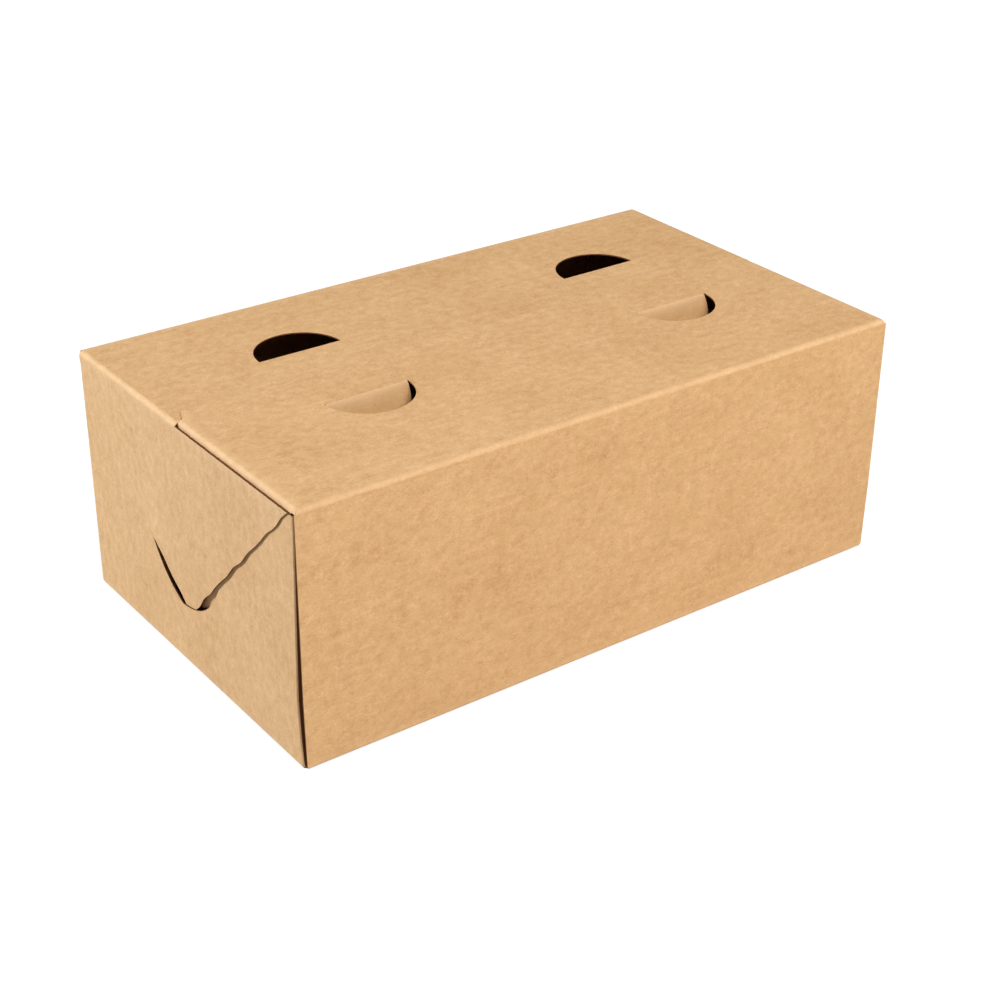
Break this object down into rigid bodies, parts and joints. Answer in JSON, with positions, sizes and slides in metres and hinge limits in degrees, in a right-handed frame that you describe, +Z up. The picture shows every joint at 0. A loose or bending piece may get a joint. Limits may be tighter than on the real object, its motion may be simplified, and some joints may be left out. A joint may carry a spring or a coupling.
{
  "type": "takeaway food box",
  "caption": "Folding food box of thin brown kraft board: glued tray, overlapping half lids, triangular locking ears tucked in end slits and push-in half-moon finger tabs.",
  "frame": {"origin": "middle of the base, on the surface that the box stands on", "axes": "+X along the length, +Y from the front wall to the back wall, +Z up"},
  "size_m": [0.27, 0.156, 0.102],
  "materials": {
    "tray_board": "matt brown kraft liner with fine fibres",
    "lid_board": "matt brown kraft liner with fine fibres",
    "ear_board": "matt brown kraft liner with wave-cut edges",
    "tab_board": "matt brown kraft liner with die-cut edges"
  },
  "bodies": {
    "tray": {"tray": "tray_board"},
    "front_lid": {"front_lid": "lid_board"},
    "left_ear": {"left_ear": "ear_board"},
    "right_ear": {"right_ear": "ear_board"},
    "front_left_tab": {"front_left_tab": "tab_board"},
    "front_right_tab": {"front_right_tab": "tab_board"},
    "back_left_tab": {"back_left_tab": "tab_board"},
    "back_right_tab": {"back_right_tab": "tab_board"}
  },
  "joints": [
    {"name": "front_lid_fold", "type": "hinge", "parent": "tray", "child": "front_lid", "pos_m": [0, -0.07747, 0.10147], "axis": [1, 0, 0], "range_deg": [0, 170]},
    {"name": "left_ear_fold", "type": "hinge", "parent": "tray", "child": "left_ear", "pos_m": [-0.13447, 0, 0.10082], "axis": [0, 1, 0], "range_deg": [0, 135]},
    {"name": "right_ear_fold", "type": "hinge", "parent": "tray", "child": "right_ear", "pos_m": [0.13447, 0, 0.10082], "axis": [0, -1, 0], "range_deg": [0, 135]},
    {"name": "front_left_tab_crease", "type": "hinge", "parent": "front_lid", "child": "front_left_tab", "pos_m": [-0.0672, -0.0169, 0.1015], "axis": [1, 0, 0], "range_deg": [-50, 26]},
    {"name": "front_right_tab_crease", "type": "hinge", "parent": "front_lid", "child": "front_right_tab", "pos_m": [0.0758, -0.0169, 0.1015], "axis": [1, 0, 0], "range_deg": [-50, 26]},
    {"name": "back_left_tab_crease", "type": "hinge", "parent": "tray", "child": "back_left_tab", "pos_m": [-0.0672, 0.0288, 0.10085], "axis": [-1, 0, 0], "range_deg": [-75, 15]},
    {"name": "back_right_tab_crease", "type": "hinge", "parent": "tray", "child": "back_right_tab", "pos_m": [0.0758, 0.0288, 0.10085], "axis": [-1, 0, 0], "range_deg": [-75, 15]}
  ]
}
